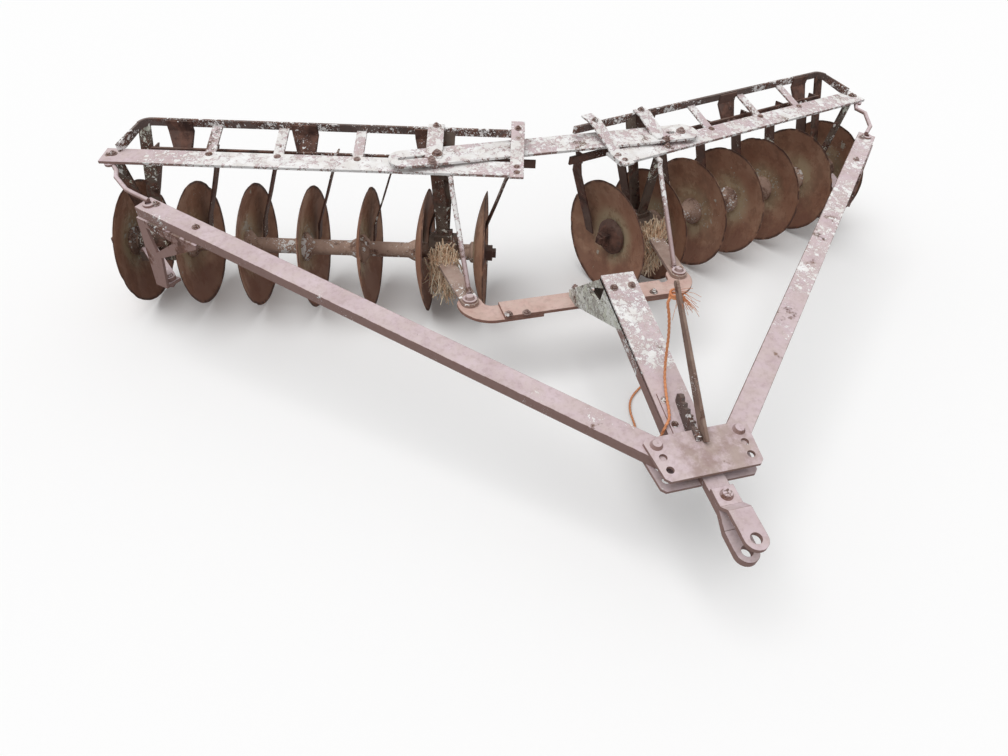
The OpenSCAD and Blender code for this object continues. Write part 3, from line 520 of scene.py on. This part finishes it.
SIDED_PIECES = [
    ("inner_arm", arm_steel, 1.6, "old_primer"),
    ("outer_arm", primer_worn, 1.6, "old_primer"),
    ("inner_stay", stay_crusted, 0.8, "old_primer"),
    ("outer_stay", primer_worn, 0.8, "old_primer"),
    ("rear_rail", rail_crusted, 1.2, "old_primer"),
    ("rungs", primer_crusted, 1.2, "old_primer"),
    ("straps", primer_crusted, 1.2, "old_primer"),
    ("scraper_bar", steel_dark, 1.2, "bare_steel"),
    ("scrapers", scraper_rust, 1.0, "scraper_steel"),
    ("standards", standard_cast, 2.0, "cast_rusty"),
]
for node, finish, rounding, slot_name in STEEL_PIECES:
    dress(node, finish, bevel=rounding)
for stem, finish, rounding, slot_name in SIDED_PIECES:
    for side in SIDES:
        dress(stem + "_" + side, finish, bevel=rounding)
dress("front_bar_left", primer_front_left, bevel=1.4)
dress("front_bar_right", primer_crusted, bevel=1.4)
for side in SIDES:
    body_name = "gang_" + side
    dress("axle_" + side, steel_dark, body_name, 1.4)
    spools = dress("spools_" + side, cast_brown, body_name, 2.0)
    ease_journals(spools.data, side)


# Discs, each with its own worn rim
RING_R = [20, 45, 62, 84, 106, 128, 150, 172, 190, 204, 216, 225, 231, 236, 240, 242]
STEPS = 132


def dish_depth(radius):
    ball = (DISC_R ** 2 - FLAT_R ** 2 + DISH ** 2) / (2 * DISH)

    def dip(r):
        return ball - math.sqrt(ball ** 2 - r ** 2)
    return DISH * (dip(max(radius, FLAT_R)) - dip(FLAT_R)) / (dip(DISC_R) - dip(FLAT_R))


def rim_wear(seed):
    """How far the rim is worn away at each step round a disc, in millimetres."""
    chance = random.Random(seed)
    angle = np.arange(STEPS) * 2 * math.pi / STEPS
    wear = np.full(STEPS, 1.2)
    for waves, size in ((2, 1.3), (3, 0.9), (7, 0.5), (13, 0.4), (29, 0.35)):
        wear += size * np.sin(waves * angle + chance.uniform(0, 6.28))
    for _ in range(chance.randint(3, 6)):
        centre, width = chance.uniform(0, 6.28), chance.uniform(0.025, 0.07)
        depth = chance.uniform(1.5, 4.5)
        away = np.abs((angle - centre + math.pi) % (2 * math.pi) - math.pi)
        wear += depth * np.exp(-(away / width) ** 2)
    return np.clip(wear, 0, 7)


def make_discs(side):
    points, faces, shares = [], [], []
    place = gang(side) @ shift(ROTOR_SHIFT, 0, 0)
    angle = np.arange(STEPS) * 2 * math.pi / STEPS
    for n in range(DISCS):
        wear = rim_wear(40 + n + 10 * (side == "right"))
        chance = random.Random(90 + n + 10 * (side == "right"))
        bend, phase = chance.uniform(0.4, 1.2), chance.uniform(0, 6.28)
        start = len(points)
        for face_side in (1, -1):
            for radius in RING_R:
                near_rim = min(max((radius - 190) / 52, 0), 1) ** 2
                half = DISC_T / 2 - 1.7 * max((radius - 222) / 20, 0)
                across = radius - wear * near_rim
                lean = bend * (radius / DISC_R) ** 2 * np.sin(2 * angle + phase)
                depth = face_side * half - dish_depth(radius) + lean
                for k in range(STEPS):
                    points.append(at(place, (n * DISC_GAP + depth[k], across[k] * math.cos(angle[k]),
                                             across[k] * math.sin(angle[k]))))
                shares += [radius / DISC_R] * STEPS
        rings = len(RING_R)
        outward = [(start + i * STEPS, start + (i + 1) * STEPS) for i in range(rings - 1)]
        hollow = [(start + (rings + i + 1) * STEPS, start + (rings + i) * STEPS)
                  for i in range(rings - 1)]
        rim = [(start + (rings - 1) * STEPS, start + (2 * rings - 1) * STEPS)]
        bore = [(start + rings * STEPS, start)]
        for a, b in outward + hollow + rim + bore:
            for k in range(STEPS):
                m = (k + 1) % STEPS
                loop = (a + k, b + k, b + m, a + m)
                faces.append(loop if side == "right" else loop[::-1])
    mesh = bpy.data.meshes.new("discs_" + side + "_worn")
    mesh.from_pydata(points, [], faces)
    mark = mesh.attributes.new("out_share", "FLOAT", "POINT")
    mark.data.foreach_set("value", np.array(shares, np.float32))
    mesh.shade_smooth()
    mesh.set_sharp_from_angle(angle=math.radians(40))
    return new_piece("discs_" + side + "_worn", mesh, disc_steel, "gang_" + side, ("discs_" + side,))


for side in SIDES:
    make_discs(side)


# Faces of the frame, for seating bolts
def steel_faces():
    points, faces = [], []
    for name, node in nodes.items():
        if name == "twine" or name.startswith(("discs", "spools", "axle")):
            continue
        start = len(points)
        points += [v.co.copy() for v in node.data.vertices]
        faces += [[start + i for i in f.vertices] for f in node.data.polygons]
    return BVHTree.FromPolygons(points, faces)


STEEL = steel_faces()
BOLT_SIZE = 0.82
SEAT_HEIGHT = 70
UP, REARWARD, FORWARD = (0, 0, 1), (0, 1, 0), (0, -1, 0)


def seat(place, point, facing):
    """Where a bolt lands that comes down on the steel against its facing, or None."""
    way = (place.to_3x3() @ Vector(facing)).normalized()
    spot, normal, _, _ = STEEL.ray_cast(at(place, point) + way * SEAT_HEIGHT * MM, -way, 0.16)
    if spot is None or normal.dot(way) < 0.6:
        return None
    return spot, normal


def bolt_seats():
    """Seats of the frame's bolts: place, facing, size and turn, by kind."""
    rows = []
    for side in SIDES:
        top, low, line = gang_frame(side), gang(side), draft_line(side)
        end_u = END_STRAP_U[side]
        rows += [("hex", top, (BAR_END - 20, 44, 0), UP, 15),
                 ("hex", top, (STRAP_U, 30, 0), UP, 13),
                 ("dome", top, (end_u, 8, 0), UP, 11),
                 ("dome", top, (end_u, 46, 0), UP, 11),
                 ("hex", top, (end_u, 214, 54), UP, 11),
                 ("hex", top, (STRAP_U, 214, 54), UP, 12),
                 ("hex", top, (STRAP_U + 5, 50, 0), UP, 12),
                 ("hex", top, (BAR_END - 36, 50, 0), UP, 12)]
        for u in RUNG_U:
            rows += [("dome", top, (u, 70, 0), UP, 12), ("dome", top, (u, 220, 40), REARWARD, 11)]
        for u in HANGER_U:
            for along in (-30, 30):
                rows.append(("hex", top, (u + along, 220, 40), REARWARD, 11))
            for along in (-16, 16):
                rows.append(("square", top, (u + along, 150, -46), FORWARD, 10))
        for n in range(DISCS):
            rows.append(("square", low, (n * DISC_GAP - 158, 60, 326), FORWARD, 9))
        for u in BEARING_U:
            for across in (-24, 24):
                rows.append(("hex", low, (u + across, 0, 84), UP, 11))
                rows.append(("hex", low, (u + across * 0.8, -104, 20), UP, 11))
        rows += [("hex", line, (1838, 14, 0), UP, 12), ("hex", line, (1640, 0, 0), UP, 11)]
    rows += [("hex", STAND, (-299, -491, 274), UP, 13), ("hex", STAND, (-235, -498, 274), UP, 13),
             ("hex", STAND, (259, -481, 274), UP, 13), ("hex", STAND, (-50, -470, 290), UP, 11),
             ("hex", JOINER, (-437, 0, 10), UP, 16), ("hex", JOINER, (545, 0, 10), UP, 16),
             ("square", TONGUE, (30, 560, 0), UP, 12), ("square", TONGUE, (-30, 560, 0), UP, 12),
             ("hex", TONGUE, (-28, 60, 6), UP, 9), ("hex", TONGUE, (-28, 140, 6), UP, 9)]
    found = {"hex": [], "square": [], "dome": []}
    chance = random.Random(7)
    for kind, place, point, facing, size in rows:
        hit = seat(place, point, facing)
        if hit:
            found[kind].append((hit[0], hit[1], size * BOLT_SIZE * MM, chance.uniform(0, 6.28)))
    return found


def bolt_tree(kind):
    """A head, its washer and the bolt's end on every seat."""
    tree = bpy.data.node_groups.new("bolts_" + kind, "GeometryNodeTree")
    tree.interface.new_socket("Seats", in_out="INPUT", socket_type="NodeSocketGeometry")
    socket = tree.interface.new_socket("Washer", in_out="INPUT", socket_type="NodeSocketFloat")
    socket.default_value = 1.3
    tree.interface.new_socket("Bolts", in_out="OUTPUT", socket_type="NodeSocketGeometry")
    given = tree.nodes.new("NodeGroupInput").outputs
    out = tree.nodes.new("NodeGroupOutput").inputs
    parts = []

    def part(node, lift):
        move = put(tree, "GeometryNodeTransform", {"Geometry": node.outputs["Mesh"],
                                                  "Translation": (0, 0, lift)})
        parts.append(move.outputs[0])

    part(put(tree, "GeometryNodeMeshCylinder", {"Vertices": 20, "Radius": given["Washer"],
                                               "Depth": 0.26}), 0.1)
    sides = {"hex": 6, "square": 4, "dome": 16}[kind]
    if kind == "dome":
        for radius, rest, lift in ((1.0, 0.88, 0.3), (0.88, 0.6, 0.5), (0.6, 0.2, 0.64)):
            part(put(tree, "GeometryNodeMeshCone", {"Vertices": sides, "Radius Bottom": radius,
                                                   "Radius Top": rest, "Depth": 0.2}), lift - 0.1)
    else:
        part(put(tree, "GeometryNodeMeshCylinder", {"Vertices": sides, "Radius": 1.05, "Depth": 0.6}), 0.5)
        part(put(tree, "GeometryNodeMeshCone", {"Vertices": sides, "Radius Bottom": 1.05,
                                               "Radius Top": 0.84, "Depth": 0.14}), 0.8)
        part(put(tree, "GeometryNodeMeshCylinder", {"Vertices": 12, "Radius": 0.5, "Depth": 0.5}), 1.0)
        part(put(tree, "GeometryNodeMeshCone", {"Vertices": 12, "Radius Bottom": 0.5,
                                               "Radius Top": 0.36, "Depth": 0.12}), 1.25)
    whole = tree.nodes.new("GeometryNodeJoinGeometry")
    for one in parts:
        tree.links.new(one, whole.inputs[0])

    def value(name, kind_of):
        return put(tree, "GeometryNodeInputNamedAttribute", {"Name": name}, data_type=kind_of).outputs[0]

    about = put(tree, "FunctionNodeAxisAngleToRotation", {"Axis": UP, "Angle": value("turn", "FLOAT")})
    aim = put(tree, "FunctionNodeAlignRotationToVector", {"Vector": value("facing", "FLOAT_VECTOR")},
              axis="Z")
    both = put(tree, "FunctionNodeRotateRotation", {
        "Rotation": aim.outputs[0], "Rotate By": about.outputs[0]}, rotation_space="LOCAL")
    spread = put(tree, "GeometryNodeInstanceOnPoints", {
        "Points": given["Seats"], "Instance": whole.outputs[0], "Rotation": both.outputs[0],
        "Scale": value("size", "FLOAT")})
    real = put(tree, "GeometryNodeRealizeInstances", {"Geometry": spread.outputs[0]})
    done = put(tree, "GeometryNodeSetMaterial", {"Geometry": real.outputs[0]})
    done.inputs["Material"].default_value = bolt_rust
    feed(tree, out["Bolts"], done.outputs[0])
    return tree


def grow(name, seeds, tree, values):
    """What a geometry tree makes of a mesh of seeds, as a plain mesh."""
    carrier = bpy.data.objects.new(name + "_seeds", seeds)
    scene.collection.objects.link(carrier)
    grown = carrier.modifiers.new("grow", "NODES")
    grown.node_group = tree
    for item in tree.interface.items_tree:
        if item.in_out == "INPUT" and item.name in values:
            grown[item.identifier] = values[item.name]
    depsgraph = bpy.context.evaluated_depsgraph_get()
    mesh = bpy.data.meshes.new_from_object(carrier.evaluated_get(depsgraph), depsgraph=depsgraph)
    mesh.name = name
    bpy.data.objects.remove(carrier)
    return mesh


for kind, seats in bolt_seats().items():
    seeds = bpy.data.meshes.new("seats_" + kind)
    seeds.from_pydata([s[0] for s in seats], [], [])
    for name, kind_of, column in (("facing", "FLOAT_VECTOR", 1), ("size", "FLOAT", 2),
                                  ("turn", "FLOAT", 3)):
        mark = seeds.attributes.new(name, kind_of, "POINT")
        flat = np.array([s[column] for s in seats], np.float32).ravel()
        mark.data.foreach_set("vector" if kind_of == "FLOAT_VECTOR" else "value", flat)
    bolts = grow("bolts_" + kind, seeds, bolt_tree(kind), {"Washer": 1.45 if kind == "hex" else 1.3})
    new_piece("bolts_" + kind, bolts, bolt_rust, "frame", ())


# Twine: three strands laid round each other, with a knot and a frayed end
TWINE_ROUTE = [
    (6, -1005, 637), (-3, -1007, 634), (-8, -1012, 620), (-4, -1019, 597), (0, -1026, 565),
    (2, -1034, 525), (0, -1044, 485), (-4, -1058, 448), (-9, -1078, 414), (-15, -1104, 394),
    (-24, -1136, 383), (-32, -1168, 374), (-42, -1194, 366), (-58, -1210, 357), (-68, -1216, 336),
    (-69, -1212, 305), (-63, -1200, 262), (-51, -1176, 212), (-38, -1140, 160), (-21, -1092, 110),
    (-2, -1042, 66), (16, -992, 31), (32, -946, 12), (46, -902, 6), (58, -862, 5),
    (68, -806, 5), (84, -762, 5), (108, -728, 5), (140, -700, 5), (170, -680, 5), (200, -668, 5)]
TWINE_R = 4.5


def smooth_route(route, per_step):
    rows = [np.array(p, float) for p in route]
    points = []
    for i in range(len(rows) - 1):
        a, b, c, d = rows[max(i - 1, 0)], rows[i], rows[i + 1], rows[min(i + 2, len(rows) - 1)]
        for k in range(per_step):
            t = k / per_step
            points.append((2 * b + (c - a) * t + (2 * a - 5 * b + 4 * c - d) * t * t
                           + (3 * b - a - 3 * c + d) * t ** 3) / 2)
    points.append(rows[-1])
    return [Vector((p[0], p[1] - MID_Y, p[2])) * MM for p in points]


def sweep_tube(path, outline, lay):
    """Points and faces of a tube whose outline turns by lay radians a metre along the path."""
    points, faces = [], []
    last = len(path) - 1
    ahead = [(path[min(k + 1, last)] - path[max(k - 1, 0)]).normalized() for k in range(last + 1)]
    side = ahead[0].orthogonal().normalized()
    gone, count = 0.0, len(outline)
    for k, centre in enumerate(path):
        if k:
            gone += (path[k] - path[k - 1]).length
        side = (side - side.dot(ahead[k]) * ahead[k]).normalized()
        over = ahead[k].cross(side)
        for j, radius in enumerate(outline):
            angle = 2 * math.pi * j / count + lay * gone
            points.append(centre + radius * (math.cos(angle) * side + math.sin(angle) * over))
        if k:
            base = (k - 1) * count
            for j in range(count):
                m = (j + 1) % count
                faces.append((base + j, base + m, base + count + m, base + count + j))
    faces.append(tuple(reversed(range(count))))
    faces.append(tuple(range(last * count, (last + 1) * count)))
    return points, faces


def fibre_mesh(name, tubes):
    """Several tubes as one mesh, each with its own shade."""
    points, faces, shade = [], [], []
    for (more_points, more_faces), tone in tubes:
        start = len(points)
        points += more_points
        faces += [tuple(start + i for i in f) for f in more_faces]
        shade += [tone] * len(more_points)
    mesh = bpy.data.meshes.new(name)
    mesh.from_pydata(points, [], faces)
    mark = mesh.attributes.new("strand", "FLOAT", "POINT")
    mark.data.foreach_set("value", np.array(shade, np.float32))
    mesh.shade_smooth()
    return mesh


twine_path = smooth_route(TWINE_ROUTE, 8)
LOBES = [TWINE_R * MM * (0.86 + 0.14 * math.cos(3 * 2 * math.pi * j / 18)) for j in range(18)]
twine_mesh = fibre_mesh("twine_laid", [(sweep_tube(twine_path, LOBES, 150), 0.5)])


def twine_fray():
    """The knot round the lever's top and the loose fibres that stand from it."""
    chance = random.Random(11)
    tubes = []
    top = at(STAND, (11, -1003, 648))
    for turn_no in range(3):
        loop = []
        for k in range(21):
            angle = 2 * math.pi * k / 20
            loop.append(top + Vector((9.5 * math.cos(angle), 15 * math.sin(angle),
                                      -7 * turn_no + 4 * math.cos(angle + turn_no))) * MM)
        tubes.append((sweep_tube(loop, [3.4 * MM] * 8, 0), 0.4 + 0.2 * turn_no))
    for _ in range(46):
        start = top + Vector((chance.uniform(2, 9), chance.uniform(-14, 2), chance.uniform(-8, 8))) * MM
        way = Vector((chance.uniform(-0.3, 1.0), chance.uniform(-1.6, -0.2), chance.uniform(-0.4, 0.5)))
        way.normalize()
        reach, path = chance.uniform(22, 74), []
        for k in range(7):
            t = k / 6
            drop = Vector((0, 0, -18 * t * t * chance.uniform(0.8, 1.2)))
            path.append(start + (way * reach * t + drop) * MM)
        tubes.append((sweep_tube(path, [0.55 * MM] * 4, 0), chance.random()))
    return fibre_mesh("twine_knot_and_fray", tubes)


new_piece("twine_laid", twine_mesh, twine_strands, "frame", ("twine",))
new_piece("twine_knot_and_fray", twine_fray(), twine_strands, "frame", ())


# Straw and dry soil round the inner bearings
def straw_tree():
    """Bent stalks that hang from the skin of a lump."""
    tree = bpy.data.node_groups.new("straw", "GeometryNodeTree")
    tree.interface.new_socket("Lump", in_out="INPUT", socket_type="NodeSocketGeometry")
    for label, value, kind in (("Density", 9000.0, "NodeSocketFloat"), ("Seed", 3, "NodeSocketInt")):
        tree.interface.new_socket(label, in_out="INPUT", socket_type=kind).default_value = value
    tree.interface.new_socket("Straw", in_out="OUTPUT", socket_type="NodeSocketGeometry")
    given = tree.nodes.new("NodeGroupInput").outputs
    out = tree.nodes.new("NodeGroupOutput").inputs
    stalk = put(tree, "GeometryNodeCurvePrimitiveBezierSegment", {
        "Start": (-0.5, 0, 0), "Start Handle": (-0.2, 0, 0.12), "End Handle": (0.2, 0.06, 0.12),
        "End": (0.5, 0.14, 0), "Resolution": 5})
    round_one = put(tree, "GeometryNodeCurvePrimitiveCircle", {"Resolution": 4, "Radius": 0.019})
    tube = put(tree, "GeometryNodeCurveToMesh", {
        "Curve": stalk.outputs[0], "Profile Curve": round_one.outputs[0], "Fill Caps": True})
    spots = put(tree, "GeometryNodeDistributePointsOnFaces", {
        "Mesh": given["Lump"], "Density": given["Density"], "Seed": given["Seed"]})
    lean = put(tree, "FunctionNodeRandomValue", {"Seed": given["Seed"]}, data_type="FLOAT_VECTOR")
    feed(tree, lean.inputs[0], (-0.8, 0.8, 0.0))
    feed(tree, lean.inputs[1], (0.8, 2.3, 6.283))
    size = put(tree, "FunctionNodeRandomValue", {"Seed": 5}, data_type="FLOAT")
    feed(tree, size.inputs[2], 0.05)
    feed(tree, size.inputs[3], 0.125)
    spread = put(tree, "GeometryNodeInstanceOnPoints", {
        "Points": spots.outputs["Points"], "Instance": tube.outputs[0], "Rotation": lean.outputs[0],
        "Scale": size.outputs[1]})
    shade = put(tree, "FunctionNodeRandomValue", {"Seed": 9}, data_type="FLOAT")
    mark = put(tree, "GeometryNodeStoreNamedAttribute", {"Geometry": spread.outputs[0], "Name": "strand",
                                                        "Value": shade.outputs[1]},
               data_type="FLOAT", domain="INSTANCE")
    real = put(tree, "GeometryNodeRealizeInstances", {"Geometry": mark.outputs[0]})
    done = put(tree, "GeometryNodeSetMaterial", {"Geometry": real.outputs[0]})
    done.inputs["Material"].default_value = straw_dry
    feed(tree, out["Straw"], done.outputs[0])
    return tree


def lump_mesh(name, side, rows, seed):
    """Rough lumps, each a centre and three half sizes along the gang."""
    work = bmesh.new()
    chance = random.Random(seed)
    place = gang(side)
    for centre, half in rows:
        made = bmesh.ops.create_icosphere(work, subdivisions=3, radius=1.0)
        for v in made["verts"]:
            d = v.co.copy()
            rough = 1 + 0.16 * math.sin(5 * d.x + 3 * d.z + centre[0]) * math.cos(4 * d.y + seed)
            rough += chance.uniform(-0.05, 0.05)
            v.co = at(place, [c + h * rough * w for c, h, w in zip(centre, half, d)])
    if side == "left":
        bmesh.ops.reverse_faces(work, faces=work.faces)
    mesh = bpy.data.meshes.new(name)
    work.to_mesh(mesh)
    work.free()
    mark = mesh.attributes.new("strand", "FLOAT", "POINT")
    mark.data.foreach_set("value", np.array([chance.random() for _ in mesh.vertices], np.float32))
    mesh.shade_smooth()
    return mesh


# Centre and half sizes of each lump along the gang
SOIL_LUMPS = [((104, -112, 10), (50, 44, 40)),
              ((90, -138, -48), (26, 28, 52)),
              ((130, -122, -36), (24, 26, 46))]
straw = straw_tree()
for side in SIDES:
    soil = lump_mesh("soil_on_bearing_" + side, side, SOIL_LUMPS, 5 if side == "left" else 6)
    stalks = grow("straw_on_bearing_" + side, soil.copy(), straw, {"Density": 9000.0, "Seed": 3})
    new_piece("soil_on_bearing_" + side, soil, soil_dry, "frame", ())
    new_piece("straw_on_bearing_" + side, stalks, straw_dry, "frame", ())


# Floor and light
def seen_plainly(tree):
    """1 for what the camera sees, also by gloss or through glass."""
    rays = put(tree, "ShaderNodeLightPath").outputs
    return calc(tree, "MAXIMUM", rays["Is Camera Ray"],
                calc(tree, "MAXIMUM", rays["Is Glossy Ray"], rays["Is Transmission Ray"]))


def set_stage():
    mesh = bpy.data.meshes.new("floor")
    reach = 14
    mesh.from_pydata([(-reach, -reach, -0.002), (reach, -reach, -0.002), (reach, reach, -0.002),
                      (-reach, reach, -0.002)], [], [(0, 1, 2, 3)])
    floor = bpy.data.objects.new("floor", mesh)
    scene.collection.objects.link(floor)
    material = bpy.data.materials.new("floor_pale")
    material.use_nodes = True
    tree = material.node_tree
    tree.nodes.clear()
    pale = tint(tree, seen_plainly(tree), (0.3, 0.3, 0.3, 1), (0.94, 0.94, 0.94, 1))
    matte = put(tree, "ShaderNodeBsdfDiffuse", {"Color": pale})
    put(tree, "ShaderNodeOutputMaterial", {"Surface": matte.outputs[0]})
    mesh.materials.append(material)
    world = bpy.data.worlds.new("soft_sky")
    world.use_nodes = True
    tree = world.node_tree
    tree.nodes.clear()
    sky = put(tree, "ShaderNodeBackground", {"Color": (1, 1, 1, 1), "Strength": 0.52})
    white = put(tree, "ShaderNodeBackground", {"Color": (1, 1, 1, 1), "Strength": 1.0})
    both = put(tree, "ShaderNodeMixShader", {0: seen_plainly(tree), 1: sky.outputs[0],
                                             2: white.outputs[0]})
    put(tree, "ShaderNodeOutputWorld", {"Surface": both.outputs[0]})
    scene.world = world
    light = bpy.data.lights.new("high_soft_light", "SUN")
    light.energy = 1.75
    light.angle = math.radians(55)
    lamp = bpy.data.objects.new("high_soft_light", light)
    lamp.matrix_world = Vector((0.3, 0.1, -1)).to_track_quat("-Z", "Y").to_matrix().to_4x4()
    scene.collection.objects.link(lamp)


set_stage()
scene.view_settings.view_transform = "Standard"
